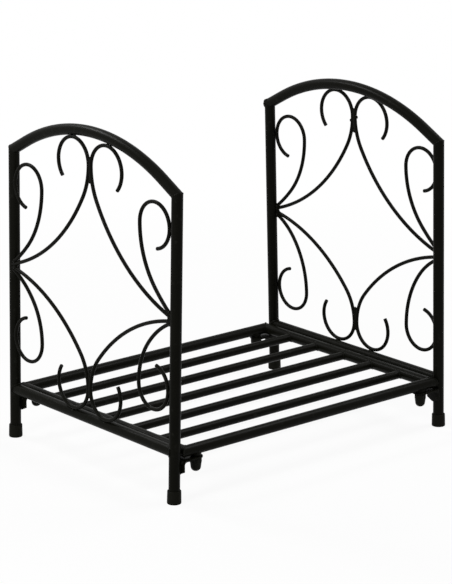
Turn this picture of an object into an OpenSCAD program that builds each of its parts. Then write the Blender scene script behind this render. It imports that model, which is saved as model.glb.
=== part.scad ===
// Firewood rack: two arched end panels with scrollwork, joined by a lift-out grate and four hand knobs.
// X runs from the left end panel to the right one, Y from front to back, Z up, floor at Z = 0.

/* [Rack] */
// Distance between the end panels, upright axis to upright axis
rack_length = 600; // [480:5:760]
// Depth of an end panel, upright axis to upright axis
panel_depth = 440; // [420:5:480]
// Lean of the end panels towards each other, in degrees
panel_lean = 1.4; // [0:0.1:2.5]
// Height of the corners where uprights and arch tube meet, on their axes, along the panel
corner_height = 512; // [490:1:550]
// Rise of the arch above its corners
arch_rise = 65; // [60:1:76]
// Slope of the straight ends of the arch tube, in degrees
arch_end_slope = 28; // [26:1:31]

/* [Tubes and wire] */
// Outside diameter of the frame tubes
tube_d = 19; // [16:0.5:22]
// Wall of the frame tubes
tube_wall = 1.2; // [0.8:0.1:2]
// Outside diameter of the grate slats
slat_d = 15; // [12:0.5:17]
// Wall of the grate slats
slat_wall = 1; // [0.8:0.1:1.8]
// Diameter of the scroll rod
rod_d = 6.4; // [5:0.1:7.5]
// Room left at each welded touching point of round bars
weld_gap = 0.1; // [0.05:0.05:0.3]

/* [Grate] */
// Height of the grate rail axes above the floor
grate_height = 83.5; // [78:0.5:100]
// Number of slats between the side rails
slat_count = 5; // [3:1:5]
// Drop of the slat axes below the rail axes
slat_drop = 1.3; // [0:0.1:2]
// Play between the grate ends and the panel cross rails
grate_play = 1.8; // [0.5:0.1:3]
// Rise of the panel cross rail above the grate rail axes
cross_rail_rise = 3.3; // [0:0.1:8]

/* [Scrolls] */
// Distance of the scroll rod axes outside the panel tube axes
scroll_offset = 6; // [0:0.5:8]
// Height on the uprights where the four rods of each side meet
node_height = 309.5; // [298:0.5:322]
// Spread of the two long rods above and below the meeting point
long_rod_spread = 3.6; // [3.4:0.1:7]
// Spread of the two short rods above and below the meeting point
short_rod_spread = 7.6; // [7:0.1:14]
// Radius of the curls at the panel centre, on the rod axis
centre_curl_r = 41; // [37:0.5:43]
// Radius of the curls at the uprights, on the rod axis
side_curl_r = 38; // [34:0.5:41]
// Drop of the upper side curls below the panel corners, to the curl centre
upper_side_drop = 56.5; // [50:0.5:64]
// Rise of the lower side curls above the cross rail axis on the left panel, to the curl centre
left_lower_side_rise = 100; // [90:0.5:104]
// The same rise on the right panel
right_lower_side_rise = 79; // [74:0.5:98]
// Turn of the upper centre curl, in degrees
upper_centre_turn_angle = 224; // [190:1:250]
// Turn of the lower centre curl, in degrees
lower_centre_turn_angle = 216; // [190:1:250]
// Turn of the side curls, in degrees
side_turn_angle = 259; // [220:1:270]

/* [Corner brackets] */
// Width of the bracket strap
bracket_w = 29; // [26:0.5:32]
// Shift of the bracket towards the middle of the panel
bracket_shift = 2; // [0:0.1:2.5]
// Thickness of the bracket strap
bracket_t = 2.5; // [2:0.1:3.5]
// Inside radius of the bracket bend
bracket_bend_r = 5; // [3:0.1:5.5]
// Height of the welded leg, from the top of the seat
bracket_leg = 25; // [20:0.5:32]
// Width of the cut at each lower corner of the leg
leg_cut_w = 12.5; // [4:0.5:12.5]
// Height of the cut at each lower corner of the leg
leg_cut_h = 6; // [3:0.5:8]
// Distance from the upright axis to the rounded end of the seat
bracket_reach = 58.5; // [57:0.5:62]
// Distance from the upright axis to the knob axis
knob_inset = 46; // [44:0.5:47]

/* [Hand knobs] */
// Diameter of the threaded stud
stud_d = 6; // [5:0.5:7]
// Radial running clearance between stud and boss
stud_fit = 0.05; // [0.02:0.01:0.1]
// Radial room round the stud in brackets and rail walls
stud_room = 0.6; // [0.3:0.1:1]
// Length of the stud above the knob
stud_reach = 13; // [11.5:0.5:14]
// Depth of the stud in the knob
stud_seat = 14; // [10:0.5:17]
// Diameter of the threaded boss under the rail
boss_d = 17; // [14:0.5:18]
// Distance the boss stands below the rail
boss_h = 2.5; // [1.5:0.1:5]
// Diameter of the knob collar
knob_collar_d = 20.4; // [20:0.2:24]
// Height of the knob collar
knob_collar_h = 7.5; // [5:0.5:10]
// Diameter of the knob body under the collar
knob_body_d = 18.2; // [16.5:0.1:18.5]
// Diameter of the knob body where its rounded end begins
knob_end_d = 15.6; // [15.2:0.1:16.4]
// Height of the whole knob
knob_h = 22.5; // [21:0.5:28]
// Radius of the rounded knob end
knob_end_r = 7; // [5:0.1:7.5]
// Number of finger flutes round the knob
flute_count = 8; // [6:1:12]
// Depth of the finger flutes
flute_depth = 0.7; // [0.4:0.1:1]
// Diameter of the cutter that makes a flute
flute_d = 4; // [3:0.1:5]
// Outside diameter of the washer
washer_d = 16; // [13:0.5:19]
// Thickness of the washer
washer_t = 1.2; // [0.8:0.1:2]
// Gap between washer and knob, so that the knob turns freely
knob_gap = 0.2; // [0.1:0.05:0.5]

/* [Feet] */
// Diameter of a foot cap at the floor
foot_d = 23.8; // [23:0.1:27]
// Taper of a foot cap, taken off its diameter at the top
foot_taper = 0.8; // [0:0.1:1]
// Height of a foot cap
foot_h = 22; // [18:0.5:35]
// Thickness of the foot cap under the tube
foot_floor = 4; // [2.5:0.5:8]
// Chamfer round the foot cap
foot_chamfer = 0.8; // [0.3:0.1:1.2]

/* [Hidden] */
$fn = 64;
ENDS = ["left", "right"];
ROWS = ["front", "back"];

// Finishes
powder_coat = [0.10, 0.10, 0.095];
zinc = [0.62, 0.63, 0.64];
knob_plastic = [0.07, 0.07, 0.07];
rubber = [0.05, 0.05, 0.05];

// Frame
tube_r = tube_d / 2;
rod_r = rod_d / 2;
half_length = rack_length / 2;
half_depth = panel_depth / 2;
cut_margin = 1;
// A short band a little over the bar size spans the small room left where two bends of one bar meet
bend_room = 0.1;
bend_swell = 0.05;
bend_band_length = 0.5;

// Arch: one bent arc between two straight ends that run to the mitred corners
arch_r = (half_depth * tan(arch_end_slope) - arch_rise) / (1 / cos(arch_end_slope) - 1);
arch_axis_z = corner_height + arch_rise - arch_r;
arch_tangent_y = arch_r * sin(arch_end_slope);
arch_tangent_z = arch_axis_z + arch_r * cos(arch_end_slope);
arch_straight = (half_depth - arch_tangent_y) / cos(arch_end_slope);
mitre_angle = (90 - arch_end_slope) / 2;
mitre_block = 3 * tube_d;

// Grate
cross_rail_z = grate_height + cross_rail_rise;
end_rail_inset = tube_d + cross_rail_z * tan(panel_lean) + grate_play;
rail_half_x = half_length - end_rail_inset;
slat_z = grate_height - slat_drop;
slat_pitch = panel_depth / (slat_count + 1);

// Brackets, bosses and knobs, stacked down from the rail
seat_z = grate_height - tube_r - boss_h;
bracket_outer_r = bracket_bend_r + bracket_t;
leg_x = tube_r / cos(panel_lean) + (seat_z - bracket_leg / 2) * tan(panel_lean);
washer_top = seat_z - bracket_t;
knob_top = washer_top - washer_t - knob_gap;
stud_top = knob_top + stud_reach;
stud_hole_d = stud_d + 2 * stud_room;
stud_tip = 0.8;
boss_wing = tube_r * 0.45;

// Scroll rods, in panel coordinates: distance from the centre line and height up the panel.
// They lie outside the tube axes, so they touch the round tubes on the slant.
rod_reach = sqrt(pow(tube_r + rod_r + weld_gap, 2) - pow(scroll_offset, 2));
weld_x = half_depth - sqrt(pow(tube_r, 2) - pow(scroll_offset, 2));
centre_curl_x = rod_r + weld_gap / 2 + centre_curl_r;
side_curl_x = half_depth - rod_reach - side_curl_r;
upper_curl_z = arch_axis_z + sqrt(pow(arch_r - rod_reach - centre_curl_r, 2) - pow(centre_curl_x, 2));
lower_curl_z = cross_rail_z + rod_reach + centre_curl_r;
upper_side_z = corner_height - upper_side_drop;

function lower_side_z(end) =
    cross_rail_z + (end == "left" ? left_lower_side_rise : right_lower_side_rise);

// Turns of the two stem arcs of each rod, in degrees
upper_stem = [30, 43.5];
lower_stem = [40, 40];
upper_side_stem = [43, 10];
lower_side_stem = [37, 28];

// Feet
foot_trim = foot_d / 2 * tan(panel_lean) + 0.2;

// Left and front are the negative sides, and children are drawn at the left front corner
module at_end(end) {
    mirror([end == "right" ? 1 : 0, 0, 0]) children();
}

module at_row(row) {
    mirror([0, row == "back" ? 1 : 0, 0]) children();
}

module at_corner(end, row) {
    at_end(end) at_row(row) translate([-half_length, -half_depth, 0]) children();
}

module at_knob(end, row) {
    at_corner(end, row) translate([knob_inset, 0, 0]) children();
}

module pipe(length, diameter, wall) {
    difference() {
        cylinder(h = length, d = diameter);
        translate([0, 0, -cut_margin]) cylinder(h = length + 2 * cut_margin, d = diameter - 2 * wall);
    }
}

// Panel coordinates: X of the drawing runs outwards from the centre line, Y up the panel, Z inwards
module on_panel(end, row) {
    at_end(end) at_row(row) translate([-half_length, 0, 0]) rotate([0, panel_lean, 0])
        mirror([0, 1, 0]) rotate([90, 0, 90]) children();
}

// The same for a piece that is alike to the front and to the back
module across_panel(end) {
    rotate([0, 0, end == "right" ? 180 : 0]) translate([-half_length, 0, 0])
        rotate([0, panel_lean, 0]) rotate([90, 0, 90]) children();
}

module bar_arc(radius, start, sweep, diameter) {
    trim = bend_room * 180 / (PI * radius);
    rotate([0, 0, start + trim]) rotate_extrude(angle = sweep - 2 * trim)
        translate([radius, 0]) circle(d = diameter);
}

// Band round a bar that runs at the given heading from the X axis
module bend_band(diameter, heading) {
    rotate([0, 0, heading]) rotate([0, 90, 0])
        cylinder(h = bend_band_length, d = diameter + 2 * bend_swell, center = true);
}

// Everything outside the mitre plane of the corner, on the arch side
module mitre_side() {
    translate([half_depth, corner_height, 0]) rotate([0, 0, mitre_angle])
        translate([-mitre_block, 0, -mitre_block]) cube([2 * mitre_block, 2 * mitre_block, 2 * mitre_block]);
}

// Everything outside the mitre plane of the corner, on the upright side
module upright_side() {
    translate([half_depth, corner_height, 0]) rotate([0, 0, mitre_angle])
        translate([-mitre_block, -2 * mitre_block, -mitre_block])
            cube([2 * mitre_block, 2 * mitre_block, 2 * mitre_block]);
}

module upright_bar(diameter) {
    translate([half_depth, 0, 0]) rotate([-90, 0, 0]) cylinder(h = corner_height + tube_d, d = diameter);
}

// Upright: plain tube, open at the foot, mitred to the arch tube
module upright(end, row) {
    color(powder_coat) on_panel(end, row) difference() {
        translate([half_depth, foot_floor, 0]) rotate([-90, 0, 0])
            pipe(corner_height + tube_d - foot_floor, tube_d, tube_wall);
        mitre_side();
    }
}

module arch_bar(diameter) {
    translate([0, arch_axis_z, 0])
        bar_arc(arch_r, 90 - arch_end_slope, 2 * arch_end_slope, diameter);
    for (side = [0, 1]) mirror([side, 0, 0])
        translate([arch_tangent_y, arch_tangent_z, 0]) {
            bend_band(diameter, -arch_end_slope);
            rotate([0, 0, -arch_end_slope]) translate([bend_room, 0, 0]) rotate([0, 90, 0])
                cylinder(h = arch_straight + tube_d, d = diameter);
        }
}

// Arch tube: one bent tube with straight ends, mitred onto both uprights
module arch_tube(end) {
    color(powder_coat) across_panel(end) difference() {
        arch_bar(tube_d);
        arch_bar(tube_d - 2 * tube_wall);
        upright_side();
        mirror([1, 0, 0]) upright_side();
    }
}

// Cross rail: tube between the uprights, its ends coped round them
module cross_rail(end) {
    color(powder_coat) across_panel(end) difference() {
        translate([-half_depth, cross_rail_z, 0]) rotate([0, 90, 0]) pipe(panel_depth, tube_d, tube_wall);
        upright_bar(tube_d);
        mirror([1, 0, 0]) upright_bar(tube_d);
    }
}

// The two stem radii that carry the rod from the curl at p to the weld point w, for the given turns
function stem_radii(p, w, turns) =
    let (
        first = [1 - cos(turns[0]), sin(turns[0])],
        end_turn = turns[0] + turns[1],
        second = [cos(turns[0]) - cos(end_turn), sin(end_turn) - sin(turns[0])],
        reach = [w[0] - p[0], p[1] - w[1]],
        scale_by = first[0] * second[1] - second[0] * first[1]
    )
    [
        (reach[0] * second[1] - second[0] * reach[1]) / scale_by,
        (first[0] * reach[1] - first[1] * reach[0]) / scale_by
    ];

// One scroll rod with its curl above the stem: curl, two stem arcs, and an end coped to the upright
module scroll_rod(curl_centre, curl_r, curl_turn, turns, weld_height) {
    start = [curl_centre[0] - curl_r, curl_centre[1]];
    radii = stem_radii(start, [weld_x, weld_height], turns);
    first_centre = [start[0] + radii[0], start[1]];
    join = 180 + turns[0];
    second_centre = first_centre + (radii[0] - radii[1]) * [cos(join), sin(join)];
    over_turn = (half_depth - weld_x) / sin(turns[0] + turns[1]) * 180 / (PI * radii[1]);
    difference() {
        translate([0, 0, -scroll_offset]) {
            translate(curl_centre) bar_arc(curl_r, 180 - curl_turn, curl_turn, rod_d);
            translate(start) bend_band(rod_d, 90);
            translate(first_centre) bar_arc(radii[0], 180, turns[0], rod_d);
            translate(first_centre + radii[0] * [cos(join), sin(join)]) bend_band(rod_d, join - 90);
            translate(second_centre) bar_arc(radii[1], join, turns[1] + over_turn, rod_d);
        }
        translate([half_depth, weld_height - tube_d, 0]) rotate([-90, 0, 0])
            cylinder(h = 2 * tube_d, d = tube_d);
    }
}

// The room of the long rod's end, where the short rod that is welded onto it is cut off
module long_rod_room(turns, weld_height) {
    translate([weld_x, weld_height, -scroll_offset]) rotate([0, 0, turns[0] + turns[1] - 90])
        translate([-2 * tube_d, rod_r + weld_gap - tube_d, -tube_r])
            cube([4 * tube_d, tube_d, tube_d]);
}

// Long scrolls curl at the centre line, under the arch or on the cross rail
module upper_scroll(end, row) {
    color(powder_coat) on_panel(end, row)
        scroll_rod([centre_curl_x, upper_curl_z], centre_curl_r, upper_centre_turn_angle,
            upper_stem, node_height + long_rod_spread);
}

module lower_scroll(end, row) {
    color(powder_coat) on_panel(end, row) mirror([0, 1, 0])
        scroll_rod([centre_curl_x, -lower_curl_z], centre_curl_r, lower_centre_turn_angle,
            lower_stem, long_rod_spread - node_height);
}

// Short scrolls curl back against the upright and end on the long rods
module upper_curl(end, row) {
    color(powder_coat) on_panel(end, row) difference() {
        scroll_rod([side_curl_x, upper_side_z], side_curl_r, side_turn_angle,
            upper_side_stem, node_height + short_rod_spread);
        long_rod_room(upper_stem, node_height + long_rod_spread);
    }
}

module lower_curl(end, row) {
    color(powder_coat) on_panel(end, row) mirror([0, 1, 0]) difference() {
        scroll_rod([side_curl_x, -lower_side_z(end)], side_curl_r, side_turn_angle,
            lower_side_stem, short_rod_spread - node_height);
        long_rod_room(lower_stem, long_rod_spread - node_height);
    }
}

// Corner bracket: bent strap, its leg on the inner side of the upright, its seat under the grate boss
module bracket(end, row) {
    leg_bottom = seat_z - bracket_leg;
    bend_x = leg_x + bracket_outer_r;
    end_x = bracket_reach - bracket_w / 2;
    color(powder_coat) at_corner(end, row) translate([0, bracket_shift, 0]) {
        // welded leg, its lower corners cut off
        translate([leg_x, 0, 0]) rotate([90, 0, 90]) linear_extrude(bracket_t)
            polygon([
                [-bracket_w / 2, seat_z - bracket_outer_r],
                [-bracket_w / 2, leg_bottom + leg_cut_h],
                [leg_cut_w - bracket_w / 2, leg_bottom],
                [bracket_w / 2 - leg_cut_w, leg_bottom],
                [bracket_w / 2, leg_bottom + leg_cut_h],
                [bracket_w / 2, seat_z - bracket_outer_r]
            ]);
        // bend
        translate([bend_x, bracket_w / 2, seat_z - bracket_outer_r]) rotate([90, 0, 0])
            rotate([0, 0, 90]) rotate_extrude(angle = 90) translate([bracket_bend_r, 0])
                square([bracket_t, bracket_w]);
        // seat with a rounded end and the stud hole
        translate([0, 0, washer_top]) linear_extrude(bracket_t) difference() {
            union() {
                translate([bend_x, -bracket_w / 2]) square([end_x - bend_x, bracket_w]);
                translate([end_x, 0]) circle(d = bracket_w);
            }
            translate([knob_inset, -bracket_shift]) circle(d = stud_hole_d);
        }
    }
}

// Foot cap: moulded cup over the end of the upright, its bottom level with the floor
module foot(end, row) {
    outer_r = foot_d / 2;
    top_r = outer_r - foot_taper / 2;
    color(rubber) at_corner(end, row) difference() {
        rotate([0, panel_lean, 0]) rotate_extrude() polygon([
            [0, -foot_trim], [outer_r - foot_chamfer, -foot_trim], [outer_r, foot_chamfer],
            [top_r, foot_h - foot_chamfer], [top_r - foot_chamfer, foot_h],
            [tube_r, foot_h], [tube_r, foot_floor], [0, foot_floor]
        ]);
        translate([-foot_d, -foot_d, -foot_d]) cube([2 * foot_d, 2 * foot_d, foot_d]);
    }
}

// Mitred prism that ends a grate rail at 45 degrees, for a rail along X at the given half spacing
module mitre_prism(half_run, offset_y) {
    over = tube_r + cut_margin;
    translate([0, 0, grate_height - over]) linear_extrude(2 * over) polygon([
        [-half_run - over, -offset_y - over], [half_run + over, -offset_y - over],
        [half_run - over, -offset_y + over], [-half_run + over, -offset_y + over]
    ]);
}

// Side rail: mitred tube with a hole for each stud in its lower wall
module side_rail(row) {
    color(powder_coat) at_row(row) difference() {
        intersection() {
            translate([-half_length, -half_depth, grate_height]) rotate([0, 90, 0])
                pipe(rack_length, tube_d, tube_wall);
            mitre_prism(rail_half_x, half_depth);
        }
        for (side = [-1, 1]) translate([side * (half_length - knob_inset), -half_depth, grate_height - tube_d])
            cylinder(h = tube_d, d = stud_hole_d);
    }
}

// End rail: mitred tube beside the panel cross rail
module end_rail(end) {
    color(powder_coat) at_end(end) intersection() {
        translate([-rail_half_x, half_depth + tube_d, grate_height]) rotate([90, 0, 0])
            pipe(panel_depth + 2 * tube_d, tube_d, tube_wall);
        rotate([0, 0, -90]) mitre_prism(half_depth, rail_half_x);
    }
}

// Slat: thinner tube coped between the end rails
module slat(number) {
    slat_y = half_depth - number * slat_pitch;
    color(powder_coat) if (number <= slat_count) difference() {
        translate([-rail_half_x, slat_y, slat_z]) rotate([0, 90, 0]) pipe(2 * rail_half_x, slat_d, slat_wall);
        for (side = [-1, 1]) translate([side * rail_half_x, slat_y + slat_d, grate_height]) rotate([90, 0, 0])
            cylinder(h = 2 * slat_d, d = tube_d);
    }
}

// Threaded bosses, saddled on the underside of the side rails
module rail_bosses() {
    color(powder_coat) for (end = ENDS, row = ROWS) at_knob(end, row) difference() {
        translate([0, 0, seat_z]) cylinder(h = boss_h + boss_wing, d = boss_d);
        translate([-boss_d, 0, grate_height]) rotate([0, 90, 0]) cylinder(h = 2 * boss_d, d = tube_d);
        translate([0, 0, seat_z - cut_margin])
            cylinder(h = boss_h + tube_r, d = stud_d + 2 * stud_fit);
    }
}

module knob_washers() {
    color(zinc) for (end = ENDS, row = ROWS) at_knob(end, row)
        translate([0, 0, washer_top - washer_t]) difference() {
            cylinder(h = washer_t, d = washer_d);
            translate([0, 0, -cut_margin]) cylinder(h = washer_t + 2 * cut_margin, d = stud_hole_d);
        }
}

// Hand knob: moulded thimble with a collar, a tapered fluted body and a rounded end
module knob(end, row) {
    collar_z = knob_top - knob_collar_h;
    end_z = knob_top - knob_h;
    round_x = knob_end_d / 2 - knob_end_r;
    color(knob_plastic) at_knob(end, row) difference() {
        union() {
            translate([0, 0, collar_z]) cylinder(h = knob_collar_h, d = knob_collar_d);
            translate([0, 0, end_z + knob_end_r])
                cylinder(h = knob_h - knob_end_r - knob_collar_h, d1 = knob_end_d, d2 = knob_body_d);
            translate([0, 0, end_z]) cylinder(h = knob_end_r, r = round_x);
            translate([0, 0, end_z + knob_end_r]) rotate_extrude() intersection() {
                translate([round_x, 0]) circle(r = knob_end_r);
                translate([round_x, -knob_end_r]) square([knob_end_r, knob_end_r]);
            }
        }
        translate([0, 0, knob_top - stud_seat]) cylinder(h = stud_seat + cut_margin, d = stud_d);
        for (i = [0 : flute_count - 1]) rotate([0, 0, i * 360 / flute_count])
            translate([knob_collar_d / 2 + flute_d / 2 - flute_depth, 0, collar_z - cut_margin])
                cylinder(h = knob_collar_h + 2 * cut_margin, d = flute_d, $fn = 24);
    }
}

// Stud: moulded into the knob, turned into the boss through washer, bracket and rail wall
module stud(end, row) {
    color(zinc) at_knob(end, row) translate([0, 0, knob_top - stud_seat]) {
        cylinder(h = stud_seat + stud_reach - stud_tip, d = stud_d);
        translate([0, 0, stud_seat + stud_reach - stud_tip])
            cylinder(h = stud_tip, d1 = stud_d, d2 = stud_d - 2 * stud_tip);
    }
}

for (end = ENDS) {
    arch_tube(end);
    cross_rail(end);
    end_rail(end);
}
for (end = ENDS, row = ROWS) {
    upright(end, row);
    upper_scroll(end, row);
    lower_scroll(end, row);
    upper_curl(end, row);
    lower_curl(end, row);
    bracket(end, row);
    foot(end, row);
    knob(end, row);
    stud(end, row);
}
for (row = ROWS) side_rail(row);
for (number = [1 : 5]) slat(number);
rail_bosses();
knob_washers();
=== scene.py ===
import math

import bmesh
import bpy
from mathutils import Matrix, Vector, noise


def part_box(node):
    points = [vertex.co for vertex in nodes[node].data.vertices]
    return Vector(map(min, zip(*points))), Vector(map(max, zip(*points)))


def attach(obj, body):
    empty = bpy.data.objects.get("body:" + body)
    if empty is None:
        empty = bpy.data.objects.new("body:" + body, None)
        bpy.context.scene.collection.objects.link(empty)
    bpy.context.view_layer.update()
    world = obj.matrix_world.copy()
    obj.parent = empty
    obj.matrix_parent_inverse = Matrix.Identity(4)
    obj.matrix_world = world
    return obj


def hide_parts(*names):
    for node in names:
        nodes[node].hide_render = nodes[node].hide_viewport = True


# The rack as it is packed
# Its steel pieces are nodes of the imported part. They stay where they are, and each gets its finish
# in the section of its piece. Lengths are metres, with X to the right end and Z up from the floor.
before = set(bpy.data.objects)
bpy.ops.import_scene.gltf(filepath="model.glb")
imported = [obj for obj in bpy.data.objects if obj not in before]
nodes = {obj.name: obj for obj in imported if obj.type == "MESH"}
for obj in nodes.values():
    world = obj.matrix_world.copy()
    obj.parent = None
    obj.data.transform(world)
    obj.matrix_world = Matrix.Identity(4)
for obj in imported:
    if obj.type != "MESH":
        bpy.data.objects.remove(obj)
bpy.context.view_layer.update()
ENDS = ("left", "right")
ROWS = ("front", "back")

# Uprights
# Four lengths of round steel tube, cut to a mitre at the top and powder coated with their panel.
# Each panel leans a little towards the other, so its pieces are placed in the panel's own frame.
TUBE_R = 0.0095
HALF_LENGTH = 0.300
HALF_DEPTH = 0.220
PANEL_LEAN = math.radians(1.4)
COAT_BLACK = (0.0023, 0.0023, 0.0013, 1)
COAT_GREY = (0.0047, 0.0047, 0.0031, 1)
COAT_RUBBED = (0.0092, 0.0092, 0.0070, 1)
COAT_GLOSS = 0.035
CLOUD_LOW = 0.3
CLOUD_HIGH = 0.7


def add_noise(tree, place, scale, detail):
    """Noise on the object's own coordinates, as a value from 0 to 1."""
    texture = tree.nodes.new("ShaderNodeTexNoise")
    texture.inputs["Scale"].default_value = scale
    texture.inputs["Detail"].default_value = detail
    tree.links.new(place, texture.inputs["Vector"])
    return texture.outputs["Fac"]


def add_range(tree, value, low, high, to_low, to_high):
    """The same value, spread from the range low to high onto another one."""
    spread = tree.nodes.new("ShaderNodeMapRange")
    limits = {"From Min": low, "From Max": high, "To Min": to_low, "To Max": to_high}
    for socket, number in limits.items():
        spread.inputs[socket].default_value = number
    tree.links.new(value, spread.inputs["Value"])
    return spread.outputs["Result"]


def add_mix(tree, share, first, second):
    """A colour between two others, by a share from 0 to 1."""
    mix = tree.nodes.new("ShaderNodeMix")
    mix.data_type = "RGBA"
    tree.links.new(share, mix.inputs["Factor"])
    for socket, colour in (("A", first), ("B", second)):
        target = [s for s in mix.inputs if s.name == socket and s.type == "RGBA"][0]
        if isinstance(colour, tuple):
            target.default_value = colour
        else:
            tree.links.new(colour, target)
    return [s for s in mix.outputs if s.type == "RGBA"][0]


def add_bump(tree, height, depth, strength):
    """Relief of a height from 0 to 1, for the tree's one shader."""
    bump = tree.nodes.new("ShaderNodeBump")
    bump.inputs["Distance"].default_value = depth
    bump.inputs["Strength"].default_value = strength
    tree.links.new(height, bump.inputs["Height"])
    tree.links.new(bump.outputs["Normal"], tree.nodes["Principled BSDF"].inputs["Normal"])


def new_finish(name):
    """A material with its shader, its tree and the object's own coordinates."""
    finish = bpy.data.materials.new(name)
    finish.use_nodes = True
    tree = finish.node_tree
    coordinates = tree.nodes.new("ShaderNodeTexCoord")
    return finish, tree, tree.nodes["Principled BSDF"], coordinates.outputs["Object"]


def make_powder_coat():
    """Satin black powder coat: a fine orange peel, cloudy gloss, and sparse grey rubs."""
    finish, tree, shader, place = new_finish("satin_black_powder_coat")
    clouds = add_noise(tree, place, scale=16, detail=4)
    scuffs = add_noise(tree, place, scale=95, detail=8)
    rubs = add_range(tree, scuffs, low=0.62, high=0.74, to_low=0, to_high=1)
    tone = add_mix(tree, clouds, COAT_BLACK, COAT_GREY)
    rubbed = add_mix(tree, rubs, tone, COAT_RUBBED)
    tree.links.new(rubbed, shader.inputs["Base Color"])
    roughness = add_range(tree, clouds, CLOUD_LOW, CLOUD_HIGH, to_low=0.31, to_high=0.42)
    tree.links.new(roughness, shader.inputs["Roughness"])
    shader.inputs["Specular IOR Level"].default_value = COAT_GLOSS
    orange_peel = add_noise(tree, place, scale=620, detail=3)
    add_bump(tree, orange_peel, depth=0.00006, strength=0.3)
    return finish


def coat(*names):
    """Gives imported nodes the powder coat."""
    for name in names:
        node = nodes[name]
        node.data.materials.clear()
        node.data.materials.append(powder_coat)


powder_coat = make_powder_coat()
coat(*[f"{end}_{row}_upright" for end in ENDS for row in ROWS])


def panel_frame(end, row):
    """From a panel's own frame, X inwards, Y from the middle to the upright, Z up, to the rack's."""
    side = Matrix.Scale(-1 if end == "right" else 1, 4, (1, 0, 0))
    depth = Matrix.Scale(-1 if row == "front" else 1, 4, (0, 1, 0))
    lean = Matrix.Rotation(PANEL_LEAN, 4, "Y")
    return side @ depth @ Matrix.Translation((-HALF_LENGTH, 0, 0)) @ lean


def make_piece(bm, name, finish, body):
    """Closes a piece's mesh, shades it smooth and lets it ride with its body."""
    bmesh.ops.recalc_face_normals(bm, faces=bm.faces)
    mesh = bpy.data.meshes.new(name)
    bm.to_mesh(mesh)
    bm.free()
    mesh.shade_smooth()
    mesh.materials.append(finish)
    piece = bpy.data.objects.new(name, mesh)
    bpy.context.scene.collection.objects.link(piece)
    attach(piece, body)
    return piece


# Arch tubes
# One tube a panel, bent to a shallow arch between straight ends, mitred to the uprights, welded all
# round and dressed to a low bead. The back corner of the right panel has kept a bulge of weld.
CORNER_HEIGHT = 0.512
MITRE_TILT = math.radians(31)
CORNER_BEAD_R = 0.0013
CORNER_RIPPLES = 14
CORNER_SINK = 0.0010
BEAD_SEGMENTS = 8
BEAD_RIPPLE = 0.13
BEAD_LUMPS = 0.3
BEAD_LUMP_SCALE = 400
TACK_LUMPS = 0.22
TACK_LUMP_SCALE = 1.7
BULGE_OFFSET = (0.0040, 0.0035, -0.0002)
BULGE_SIZE = (0.0066, 0.0066, 0.0088)
UPWARDS = Vector((0, 0, 1))
coat("left_arch_tube", "right_arch_tube")


def weld_ring(bm, ring_r, bead_r, ripples):
    """A lumpy bead round the Z axis. Its new points are returned, to be moved onto the joint."""
    turn = Matrix.Translation((ring_r, 0, 0)) @ Matrix.Rotation(math.pi / 2, 4, "X")
    circle = bmesh.ops.create_circle(bm, segments=BEAD_SEGMENTS, radius=bead_r, matrix=turn)["verts"]
    edges = list({edge for vert in circle for edge in vert.link_edges})
    before = set(bm.verts) - set(circle)
    bmesh.ops.spin(
        bm, geom=circle + edges, cent=(0, 0, 0), axis=(0, 0, 1),
        angle=2 * math.pi, steps=6 * ripples, use_merge=True,
    )
    points = [vert for vert in bm.verts if vert not in before]
    for vert in points:
        angle = math.atan2(vert.co.y, vert.co.x)
        core = Vector((math.cos(angle), math.sin(angle), 0)) * ring_r
        ripple = BEAD_RIPPLE * math.cos(ripples * angle)
        lumps = BEAD_LUMPS * noise.noise(vert.co * BEAD_LUMP_SCALE)
        vert.co = core + (vert.co - core) * (1 + ripple + lumps)
    return points


def weld_tack(bm, base, place, along, size, seed):
    """A lump of weld at a place in the frame base, with the last of its three radii along a way."""
    tack = bmesh.ops.create_icosphere(bm, subdivisions=3, radius=1)["verts"]
    for vert in tack:
        noise_place = vert.co * TACK_LUMP_SCALE + Vector((seed, 0, 0))
        vert.co *= 1 + TACK_LUMPS * noise.noise(noise_place)
    shape = Matrix.Diagonal((size[0], size[1], size[2], 1))
    turn = along.to_track_quat("Z", "X").to_matrix().to_4x4()
    bmesh.ops.transform(bm, matrix=base @ Matrix.Translation(place) @ turn @ shape, verts=tack)


for end in ENDS:
    bm = bmesh.new()
    for row in ROWS:
        points = weld_ring(bm, TUBE_R - CORNER_SINK, CORNER_BEAD_R, CORNER_RIPPLES)
        stretch = Matrix.Scale(1 / math.cos(MITRE_TILT), 4, (0, 1, 0))
        corner = Matrix.Translation((0, HALF_DEPTH, CORNER_HEIGHT))
        tilt = Matrix.Rotation(MITRE_TILT, 4, "X")
        bmesh.ops.transform(
            bm, matrix=panel_frame(end, row) @ corner @ tilt @ stretch, verts=points
        )
    if end == "right":
        bulge = Vector((0, HALF_DEPTH, CORNER_HEIGHT)) + Vector(BULGE_OFFSET)
        weld_tack(bm, panel_frame(end, "back"), bulge, UPWARDS, BULGE_SIZE, seed=5)
    make_piece(bm, f"{end}_corner_welds", powder_coat, "rack")

# Cross rails
# A tube between the uprights of each panel, level with the grate, its ends coped round them.
# A heavier bead runs along each cope.
RAIL_HEIGHT = 0.0868
COPE_BEAD_R = 0.0019
COPE_STAND = 0.0004
coat("left_cross_rail", "right_cross_rail")


def saddle_depth(across, tube_r):
    """How far a tube's surface stands out from its axis, at a distance across it, never quite 0."""
    return math.sqrt(max(tube_r**2 - across**2, (0.2 * tube_r) ** 2))


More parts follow.
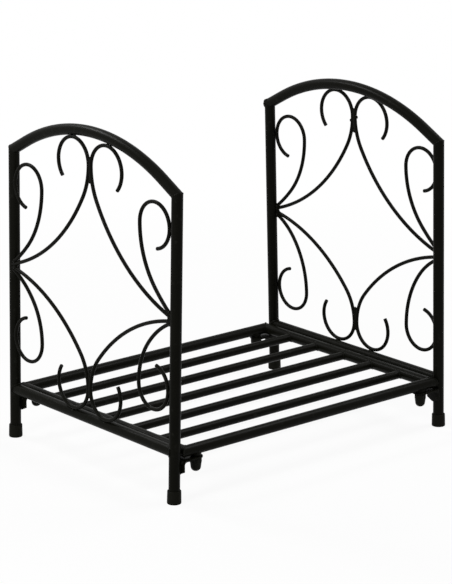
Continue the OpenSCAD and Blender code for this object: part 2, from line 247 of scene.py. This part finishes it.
for end in ENDS:
    bm = bmesh.new()
    for row in ROWS:
        points = weld_ring(bm, TUBE_R + COPE_STAND, COPE_BEAD_R, ripples=12)
        for vert in points:
            vert.co.z += HALF_DEPTH - saddle_depth(vert.co.y, TUBE_R)
        height = Matrix.Translation((0, 0, RAIL_HEIGHT))
        level = Matrix.Rotation(math.radians(-90), 4, "X")
        quarter = Matrix.Rotation(math.radians(90), 4, "Z")
        bmesh.ops.transform(
            bm, matrix=panel_frame(end, row) @ height @ level @ quarter, verts=points
        )
    make_piece(bm, f"{end}_cross_rail_welds", powder_coat, "rack")

# Scrolls and curls
# Rods bent cold on a jig, eight to a panel, and tacked where they touch a tube or each other. The
# right panel has two small nubs of weld beside the upper contact of its centre curls.
ROD_OFFSET = 0.006
ROD_REACH = 0.01131
CENTRE_CURL_R = 0.041
CENTRE_CURL_Y = 0.04425
SIDE_CURL_R = 0.038
SIDE_CURL_Y = 0.17069
UPPER_CURL_HEIGHT = 0.5218
LOWER_CURL_HEIGHT = 0.1391
UPPER_SIDE_HEIGHT = 0.4555
LOWER_SIDE_HEIGHTS = {"left": 0.1868, "right": 0.1658}
ARCH_AXIS_HEIGHT = 0.18494
MEETING_HEIGHT = 0.3095
MEETING_STEPS = (-0.0078, -0.0024, 0.0030, 0.0082)
MEETING_SIZE = (0.0036, 0.0044, 0.0052)
OUTER_TACK_SIZE = (0.0023, 0.0026, 0.0048)
INNER_TACK_SIZE = (0.0021, 0.0023, 0.0044)
FILL_STEP = 0.0050
NUB_PLACES = ((0.0076, 0.0005), (-0.0076, 0.0084))
NUB_SIZE = (0.0021, 0.0022, 0.0030)
coat(*[f"{end}_{row}_{rod}" for end in ENDS for row in ROWS
       for rod in ("upper_scroll", "lower_scroll", "upper_curl", "lower_curl")])


def rod_touches(end):
    """Where the rods of half a panel touch a tube: the rod's place and the way to the tube."""
    arch_way = Vector((0, CENTRE_CURL_Y, UPPER_CURL_HEIGHT - ARCH_AXIS_HEIGHT)).normalized()
    top = Vector((0, CENTRE_CURL_Y, UPPER_CURL_HEIGHT)) + arch_way * CENTRE_CURL_R
    foot = Vector((0, CENTRE_CURL_Y, LOWER_CURL_HEIGHT - CENTRE_CURL_R))
    touches = [(top, arch_way), (foot, Vector((0, 0, -1)))]
    for height in (UPPER_SIDE_HEIGHT, LOWER_SIDE_HEIGHTS[end]):
        touches.append((Vector((0, SIDE_CURL_Y + SIDE_CURL_R, height)), Vector((0, 1, 0))))
    return touches


for end in ENDS:
    bm = bmesh.new()
    for row in ROWS:
        base = panel_frame(end, row)
        for number, (rod, way) in enumerate(rod_touches(end)):
            along = way.cross(Vector((1, 0, 0)))
            middle = rod + way * (ROD_REACH * 0.32)
            outer = middle + Vector((-0.0062, 0, 0)) + way * 0.002
            inner = middle + Vector((0.0004, 0, 0)) - way * 0.0016
            weld_tack(bm, base, outer, along, OUTER_TACK_SIZE, seed=number + 3)
            weld_tack(bm, base, inner, along, INNER_TACK_SIZE, seed=number + 9)
        for number, step in enumerate(MEETING_STEPS):
            outwards = -0.0048 - 0.0012 * (number % 2)
            lump = Vector((outwards, HALF_DEPTH - 0.0102, MEETING_HEIGHT + step))
            weld_tack(bm, base, lump, Vector((0, 0.35, 1)), MEETING_SIZE, seed=number + 21)
    base = panel_frame(end, "front")
    for height, way in ((UPPER_CURL_HEIGHT, -1), (LOWER_CURL_HEIGHT, 1)):
        for step in range(-2, 6):
            middle = Vector((-ROD_OFFSET, 0, height + way * step * FILL_STEP))
            fill = (0.0029 - 0.0002 * abs(step), 0.0020 + 0.00022 * abs(step), 0.0046)
            weld_tack(bm, base, middle, UPWARDS, fill, seed=31 + step + 8 * way)
    if end == "right":
        for across, drop in NUB_PLACES:
            nub = Vector((-ROD_OFFSET, across, UPPER_CURL_HEIGHT - drop))
            weld_tack(bm, base, nub, UPWARDS, NUB_SIZE, seed=60 + across)
    make_piece(bm, f"{end}_rod_welds", powder_coat, "rack")

# Corner brackets
# Four straps of flat bar, bent square, with the seat under the corner of the grate. The leg is welded
# to the upright over the bend and down both sides, and the coat has rounded the edges.
SEAT_HEIGHT = 0.0715
BRACKET_ROUND = 0.0004
BEND_LUMPS = (-0.0072, -0.0036, 0, 0.0036, 0.0072)
BEND_LUMP_SIZE = (0.0031, 0.0031, 0.0033)
LEG_LUMPS = (0.0505, 0.0540, 0.0575, 0.0610)
LEG_LUMP_SIZE = (0.0014, 0.0015, 0.0024)


def soft_edged_copy(name, edge_round, finish, body):
    """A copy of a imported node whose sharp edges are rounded. It stands for the node."""
    bm = bmesh.new()
    bm.from_mesh(nodes[name].data)
    bmesh.ops.remove_doubles(bm, verts=bm.verts, dist=0.00001)
    bmesh.ops.dissolve_limit(
        bm, angle_limit=math.radians(1), verts=bm.verts, edges=bm.edges,
        use_dissolve_boundaries=False,
    )
    sharp = [
        edge for edge in bm.edges
        if edge.is_manifold and edge.calc_face_angle() > math.radians(35)
    ]
    bmesh.ops.bevel(
        bm, geom=sharp, offset=edge_round, offset_type="OFFSET", segments=3,
        profile=0.5, affect="EDGES", clamp_overlap=True, material=-1,
    )
    piece = make_piece(bm, f"{name}_finished", finish, body)
    piece.data.set_sharp_from_angle(angle=math.radians(30))
    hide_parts(name)


for end in ENDS:
    bm = bmesh.new()
    for row in ROWS:
        soft_edged_copy(f"{end}_{row}_bracket", BRACKET_ROUND, powder_coat, "rack")
        base = panel_frame(end, row)
        for number, across in enumerate(BEND_LUMPS):
            away = TUBE_R + 0.0018 - 30 * across**2
            lump = Vector((away, HALF_DEPTH + across, SEAT_HEIGHT - 0.0027))
            weld_tack(bm, base, lump, Vector((0, 1, 0)), BEND_LUMP_SIZE, seed=number + 41)
        for side in (-1, 1):
            for number, height in enumerate(LEG_LUMPS):
                lump = Vector((TUBE_R - 0.0006, HALF_DEPTH + side * 0.0043, height))
                weld_tack(bm, base, lump, UPWARDS, LEG_LUMP_SIZE, seed=number + 51 + side)
    make_piece(bm, f"{end}_bracket_welds", powder_coat, "rack")

# Foot caps
# Soft black caps pushed over the ends of the uprights, tapered a little, with a rounded rim.
# They tilt with the panel and stand flat on the floor.
FOOT_R = 0.0119
FOOT_HEIGHT = 0.022
FOOT_DRAFT = 0.0004
FOOT_SEGMENTS = 64
RIM_ROUND = 0.0012
RIM_DEPTH = 0.003
BELOW_FLOOR = 0.001
RUBBER_BLACK = (0.0035, 0.0035, 0.0021, 1)
RUBBER_GREY = (0.0070, 0.0070, 0.0049, 1)
RUBBER_GLOSS = 0.045


def make_rubber():
    """Matt moulded rubber with a fine grain and patches of dust."""
    finish, tree, shader, place = new_finish("moulded_foot_rubber")
    patches = add_noise(tree, place, scale=60, detail=5)
    tree.links.new(add_mix(tree, patches, RUBBER_BLACK, RUBBER_GREY), shader.inputs["Base Color"])
    roughness = add_range(tree, patches, CLOUD_LOW, CLOUD_HIGH, to_low=0.55, to_high=0.68)
    tree.links.new(roughness, shader.inputs["Roughness"])
    shader.inputs["Specular IOR Level"].default_value = RUBBER_GLOSS
    grain = add_noise(tree, place, scale=1500, detail=2)
    add_bump(tree, grain, depth=0.00008, strength=0.3)
    return finish


def round_corner(centre, radius, start, steps):
    """A quarter turn in an outline, clockwise from start, or the other way if steps are negative."""
    turn = [math.radians(start - 90 * step / steps) for step in range(abs(steps) + 1)]
    return [(centre[0] + radius * math.cos(a), centre[1] + radius * math.sin(a)) for a in turn]


def spun_solid(bm, outline, segments):
    """A closed solid of revolution about Z, from an outline that starts and ends on the axis."""
    points = [bm.verts.new((radius, 0, height)) for radius, height in outline]
    edges = [bm.edges.new(pair) for pair in zip(points, points[1:])]
    bmesh.ops.spin(
        bm, geom=points + edges, cent=(0, 0, 0), axis=(0, 0, 1),
        angle=2 * math.pi, steps=segments, use_merge=True,
    )
    bmesh.ops.remove_doubles(bm, verts=bm.verts, dist=0.000005)


rubber = make_rubber()
for end in ENDS:
    for row in ROWS:
        bm = bmesh.new()
        rim = (FOOT_R - FOOT_DRAFT - RIM_ROUND, FOOT_HEIGHT - RIM_ROUND)
        inner_top = FOOT_HEIGHT - RIM_DEPTH
        outline = [(0, -BELOW_FLOOR), (FOOT_R - 0.0008, -BELOW_FLOOR)]
        outline += [(FOOT_R - 0.0002, 0.0006), (FOOT_R, 0.0016)]
        outline += round_corner(rim, RIM_ROUND, start=0, steps=-5)
        outline += [(TUBE_R + 0.0001, FOOT_HEIGHT - 0.0004)]
        outline += [(TUBE_R - 0.0002, inner_top), (0, inner_top)]
        spun_solid(bm, outline, FOOT_SEGMENTS)
        bmesh.ops.transform(
            bm, matrix=panel_frame(end, row) @ Matrix.Translation((0, HALF_DEPTH, 0)), verts=bm.verts
        )
        cut = bmesh.ops.bisect_plane(
            bm, geom=list(bm.verts) + list(bm.edges) + list(bm.faces), dist=0.0000001,
            plane_co=(0, 0, 0), plane_no=(0, 0, -1), clear_outer=True,
        )["geom_cut"]
        bmesh.ops.holes_fill(bm, edges=[e for e in cut if isinstance(e, bmesh.types.BMEdge)], sides=0)
        foot = make_piece(bm, f"{end}_{row}_foot_cap", rubber, "rack")
        foot.data.set_sharp_from_angle(angle=math.radians(35))
        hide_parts(f"{end}_{row}_foot")

# Grate frame
# Four tubes mitred at the corners and welded flat, lying on the brackets between the panels.
# The mitres carry a low bead, as the arch corners do.
GRATE_BEAD_SINK = 0.0004
coat("front_rail", "back_rail", "left_end_rail", "right_end_rail")
rail_low, rail_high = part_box("right_end_rail")
grate_height = (rail_low.z + rail_high.z) / 2
end_rail_x = (rail_low.x + rail_high.x) / 2
bm = bmesh.new()
for side in (-1, 1):
    for depth in (-1, 1):
        points = weld_ring(bm, TUBE_R - GRATE_BEAD_SINK, CORNER_BEAD_R, CORNER_RIPPLES)
        stretch = Matrix.Scale(math.sqrt(2), 4, (1, 0, 0))
        stand = Matrix.Rotation(math.radians(90), 4, "X")
        quarter = Matrix.Rotation(side * depth * math.radians(45), 4, "Z")
        corner = Matrix.Translation((side * end_rail_x, depth * HALF_DEPTH, grate_height))
        bmesh.ops.transform(bm, matrix=corner @ quarter @ stand @ stretch, verts=points)
make_piece(bm, "grate_corner_welds", powder_coat, "rack")

# Slats
# Five thinner tubes that carry the logs, coped onto the end rails and welded round.
SLAT_R = 0.0075
SLAT_BEAD_R = 0.0016
SLAT_BEAD_STAND = 0.0003
slats = [f"slat_{number}" for number in range(1, 6)]
coat(*slats)
bm = bmesh.new()
for slat in slats:
    low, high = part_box(slat)
    slat_height = (low.z + high.z) / 2
    for side in (-1, 1):
        points = weld_ring(bm, SLAT_R + SLAT_BEAD_STAND, SLAT_BEAD_R, ripples=10)
        drop = grate_height - slat_height
        for vert in points:
            vert.co.z -= saddle_depth(vert.co.y - drop, TUBE_R)
        joint = Matrix.Translation((side * end_rail_x, (low.y + high.y) / 2, slat_height))
        face = Matrix(((0, 0, side, 0), (1, 0, 0, 0), (0, 1, 0, 0), (0, 0, 0, 1)))
        bmesh.ops.transform(bm, matrix=joint @ face, verts=points)
make_piece(bm, "slat_welds", powder_coat, "rack")

# Rail bosses
# Short threaded bosses on the underside of the front and back rails, one over each bracket.
# Each is coped to its rail and welded round.
BOSS_R = 0.0085
BOSS_X = 0.254
BOSS_BEAD_R = 0.001
BOSS_BEAD_STAND = 0.0002
BOSS_ROUND = 0.0003
soft_edged_copy("rail_bosses", BOSS_ROUND, powder_coat, "rack")
bm = bmesh.new()
for side in (-1, 1):
    for depth in (-1, 1):
        points = weld_ring(bm, BOSS_R + BOSS_BEAD_STAND, BOSS_BEAD_R, ripples=12)
        for vert in points:
            vert.co.z -= saddle_depth(vert.co.y, TUBE_R)
        place = Matrix.Translation((side * BOSS_X, depth * HALF_DEPTH, grate_height))
        bmesh.ops.transform(bm, matrix=place, verts=points)
make_piece(bm, "boss_welds", powder_coat, "rack")

# Washers
# Plain pressed washers in bright zinc plate, between bracket and knob.
ZINC_BRIGHT = (0.60, 0.61, 0.62, 1)
ZINC_DULL = (0.42, 0.43, 0.44, 1)
WASHER_ROUND = 0.00015


def make_zinc():
    """Zinc plate: cloudy, with fine handling marks."""
    finish, tree, shader, place = new_finish("bright_zinc_plate")
    clouds = add_noise(tree, place, scale=220, detail=5)
    tree.links.new(add_mix(tree, clouds, ZINC_BRIGHT, ZINC_DULL), shader.inputs["Base Color"])
    roughness = add_range(tree, clouds, CLOUD_LOW, CLOUD_HIGH, to_low=0.26, to_high=0.42)
    tree.links.new(roughness, shader.inputs["Roughness"])
    shader.inputs["Metallic"].default_value = 1
    marks = add_noise(tree, place, scale=1800, detail=3)
    add_bump(tree, marks, depth=0.00004, strength=0.2)
    return finish


zinc = make_zinc()
soft_edged_copy("knob_washers", WASHER_ROUND, zinc, "rack")

# Studs
# Screws moulded head down into the knobs. The thread is rolled, so its crests and roots are round,
# and it runs out at both ends.
THREAD_PITCH = 0.001
THREAD_DEPTH = 0.00055
THREAD_RINGS = 6
STUD_SEGMENTS = 40
POINT_HEIGHT = 0.0004
for end in ENDS:
    for row in ROWS:
        name = f"{end}_{row}_stud"
        low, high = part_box(name)
        stud_r = (high.x - low.x) / 2
        root_r = stud_r - THREAD_DEPTH
        thread_end = high.z - POINT_HEIGHT
        thread_length = thread_end - low.z
        rings = round(THREAD_RINGS * thread_length / THREAD_PITCH)
        outline = [(0, low.z)]
        outline += [(root_r, low.z + thread_length * step / rings) for step in range(rings + 1)]
        outline += [(root_r - THREAD_DEPTH, high.z), (0, high.z)]
        bm = bmesh.new()
        spun_solid(bm, outline, STUD_SEGMENTS)
        for vert in bm.verts:
            if vert.co.z < thread_end and vert.co.xy.length > root_r / 2:
                turned = math.atan2(vert.co.y, vert.co.x) - 2 * math.pi * vert.co.z / THREAD_PITCH
                to_end = min(vert.co.z - low.z, thread_end - vert.co.z)
                crest = min(1, to_end / THREAD_PITCH) * (0.5 + 0.5 * math.cos(turned))
                vert.co.xy = vert.co.xy * (1 + crest * THREAD_DEPTH / root_r)
        axis = Matrix.Translation(((low.x + high.x) / 2, (low.y + high.y) / 2, 0))
        bmesh.ops.transform(bm, matrix=axis, verts=bm.verts)
        stud = make_piece(bm, f"{name}_threaded", zinc, f"{end}_{row}_hand_knob")
        stud.data.set_sharp_from_angle(angle=math.radians(50))
        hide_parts(name)

# Hand knobs
# Moulded black thimbles, turned by hand: a collar with shallow finger flutes over a smooth body
# that tapers to a rounded end.
COLLAR_HEIGHT = 0.0075
COLLAR_ROUND = 0.0009
BODY_R = 0.0095
END_R = 0.0086
END_ROUND = 0.0078
FLUTES = 8
FLUTE_DEPTH = 0.0007
KNOB_BLACK = (0.0038, 0.0038, 0.0023, 1)
KNOB_GREY = (0.0074, 0.0074, 0.0052, 1)
KNOB_GLOSS = 0.05


def make_knob_plastic():
    """Moulded plastic with a faint grain and thumb-worn clouds."""
    finish, tree, shader, place = new_finish("moulded_knob_plastic")
    clouds = add_noise(tree, place, scale=120, detail=4)
    tree.links.new(add_mix(tree, clouds, KNOB_BLACK, KNOB_GREY), shader.inputs["Base Color"])
    roughness = add_range(tree, clouds, CLOUD_LOW, CLOUD_HIGH, to_low=0.42, to_high=0.58)
    tree.links.new(roughness, shader.inputs["Roughness"])
    shader.inputs["Specular IOR Level"].default_value = KNOB_GLOSS
    grain = add_noise(tree, place, scale=1300, detail=2)
    add_bump(tree, grain, depth=0.00007, strength=0.3)
    return finish


knob_plastic = make_knob_plastic()
for end in ENDS:
    for row in ROWS:
        name = f"{end}_{row}_knob"
        low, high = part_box(name)
        collar_r = (high.x - low.x) / 2
        shoulder = high.z - COLLAR_HEIGHT
        edge_r = collar_r - COLLAR_ROUND
        body_height = shoulder - low.z - END_ROUND
        outline = [(0, high.z), (collar_r - 0.003, high.z)]
        outline += round_corner((edge_r, high.z - COLLAR_ROUND), COLLAR_ROUND, start=90, steps=4)
        outline += [(collar_r, high.z - COLLAR_HEIGHT * step / 4) for step in range(1, 4)]
        outline += round_corner((edge_r, shoulder + COLLAR_ROUND), COLLAR_ROUND, start=0, steps=4)
        outline += [(BODY_R + 0.0002, shoulder), (BODY_R, shoulder - 0.0004)]
        for step in range(1, 6):
            taper = (END_R - BODY_R) * step / 6
            outline += [(BODY_R + taper, shoulder - body_height * step / 6)]
        outline += round_corner((END_R - END_ROUND, low.z + END_ROUND), END_ROUND, start=0, steps=8)
        outline += [(0, low.z)]
        bm = bmesh.new()
        spun_solid(bm, outline, 12 * FLUTES)
        for vert in bm.verts:
            radius = vert.co.xy.length
            if vert.co.z > shoulder + 0.0002 and radius > BODY_R:
                wave = 0.5 + 0.5 * math.cos(FLUTES * math.atan2(vert.co.y, vert.co.x))
                inward = FLUTE_DEPTH * wave**3 * (radius - BODY_R) / (collar_r - BODY_R)
                vert.co.xy = vert.co.xy * (1 - inward / radius)
        axis = Matrix.Translation(((low.x + high.x) / 2, (low.y + high.y) / 2, 0))
        bmesh.ops.transform(bm, matrix=axis, verts=bm.verts)
        knob = make_piece(bm, f"{name}_moulded", knob_plastic, f"{end}_{row}_hand_knob")
        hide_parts(name)

# Floor and backdrop
# A plain pale floor that keeps a faint shadow near the rack and fades to the white of the
# surroundings away from it. In reflections it is as white as it looks.
FLOOR_SIZE = 30
FLOOR_WHITE = (0.86, 0.86, 0.86, 1)
WHITE_SHARE_NEAR = 0.92
FADE_START = 0.5
FADE_END = 1.7


def seen_directly(tree):
    """1 for rays from the camera or off gloss or glass, else 0."""
    path = tree.nodes.new("ShaderNodeLightPath")
    total = path.outputs["Is Camera Ray"]
    for ray in ("Is Glossy Ray", "Is Transmission Ray"):
        step = tree.nodes.new("ShaderNodeMath")
        step.operation = "MAXIMUM"
        tree.links.new(total, step.inputs[0])
        tree.links.new(path.outputs[ray], step.inputs[1])
        total = step.outputs[0]
    return total


bm = bmesh.new()
bmesh.ops.create_grid(bm, x_segments=1, y_segments=1, size=FLOOR_SIZE)
floor_mesh = bpy.data.meshes.new("studio_floor")
bm.to_mesh(floor_mesh)
bm.free()
floor = bpy.data.objects.new("studio_floor", floor_mesh)
bpy.context.scene.collection.objects.link(floor)
floor_paint = bpy.data.materials.new("pale_floor")
floor_paint.use_nodes = True
tree = floor_paint.node_tree
paint = tree.nodes["Principled BSDF"]
paint.inputs["Base Color"].default_value = FLOOR_WHITE
paint.inputs["Roughness"].default_value = 1
paint.inputs["Specular IOR Level"].default_value = 0
white = tree.nodes.new("ShaderNodeEmission")
share = tree.nodes.new("ShaderNodeMath")
share.operation = "MULTIPLY"
distance = tree.nodes.new("ShaderNodeVectorMath")
distance.operation = "LENGTH"
floor_place = tree.nodes.new("ShaderNodeTexCoord").outputs["Object"]
tree.links.new(floor_place, distance.inputs[0])
near_white = add_range(
    tree, distance.outputs["Value"], FADE_START, FADE_END, to_low=WHITE_SHARE_NEAR, to_high=1
)
tree.links.new(near_white, share.inputs[1])
tree.links.new(seen_directly(tree), share.inputs[0])
floor_mix = tree.nodes.new("ShaderNodeMixShader")
tree.links.new(share.outputs[0], floor_mix.inputs[0])
tree.links.new(paint.outputs[0], floor_mix.inputs[1])
tree.links.new(white.outputs[0], floor_mix.inputs[2])
tree.links.new(floor_mix.outputs[0], tree.nodes["Material Output"].inputs["Surface"])
floor_mesh.materials.append(floor_paint)

# Studio light
# The surround is white to the camera and in reflections, and lights the rack at a plain level.
# Three soft boxes stand high on the right, behind the rack and to its left.
SURROUND_LEVEL = 0.20
world = bpy.data.worlds.new("studio_surround")
bpy.context.scene.world = world
world.use_nodes = True
tree = world.node_tree
level = add_range(tree, seen_directly(tree), low=0, high=1, to_low=SURROUND_LEVEL, to_high=1)
tree.links.new(level, tree.nodes["Background"].inputs["Strength"])
tree.nodes["Background"].inputs["Color"].default_value = (1, 1, 1, 1)


def soft_box(name, place, target, size, energy):
    """A square lamp at a place, turned to a target, with its side in metres and its watts."""
    light = bpy.data.lights.new(name, "AREA")
    light.shape = "SQUARE"
    light.size = size
    light.energy = energy
    lamp = bpy.data.objects.new(name, light)
    lamp.location = place
    lamp.rotation_euler = (Vector(target) - Vector(place)).to_track_quat("-Z", "Y").to_euler()
    bpy.context.scene.collection.objects.link(lamp)


soft_box("right_soft_box", place=(1.2, -0.6, 2.0), target=(0, 0, 0.2), size=0.9, energy=24)
soft_box("back_soft_box", place=(-0.6, 1.25, 1.75), target=(-0.3, 0, 0.5), size=0.4, energy=17)
soft_box("side_soft_box", place=(-2.6, -0.4, 1.3), target=(0, 0, 0.3), size=0.8, energy=36)

# Camera
# It stands where the photographer's did: to the left of the front, above the rack, with a long lens.
CAMERA_PLACE = (-2.7950, -3.3267, 1.4945)
CAMERA_TURN = math.radians(50.002)
CAMERA_TILT = math.radians(-15.949)
CAMERA_ROLL = math.radians(-0.22)
LENS = 161.0
SENSOR_WIDTH = 36
CLIP_START = 0.1
CLIP_END = 100
camera_data = bpy.data.cameras.new("studio_camera")
camera_data.lens = LENS
camera_data.sensor_width = SENSOR_WIDTH
camera_data.clip_start = CLIP_START
camera_data.clip_end = CLIP_END
camera = bpy.data.objects.new("studio_camera", camera_data)
bpy.context.scene.collection.objects.link(camera)
forward = Vector((
    math.cos(CAMERA_TILT) * math.cos(CAMERA_TURN),
    math.cos(CAMERA_TILT) * math.sin(CAMERA_TURN),
    math.sin(CAMERA_TILT),
))
right = forward.cross(UPWARDS).normalized()
up = right.cross(forward)
rolled_right = math.cos(CAMERA_ROLL) * right + math.sin(CAMERA_ROLL) * up
rolled_up = math.cos(CAMERA_ROLL) * up - math.sin(CAMERA_ROLL) * right
turn = Matrix((rolled_right, rolled_up, -forward)).transposed().to_4x4()
camera.matrix_world = Matrix.Translation(CAMERA_PLACE) @ turn
bpy.context.scene.camera = camera
bpy.context.scene.view_settings.view_transform = "Standard"
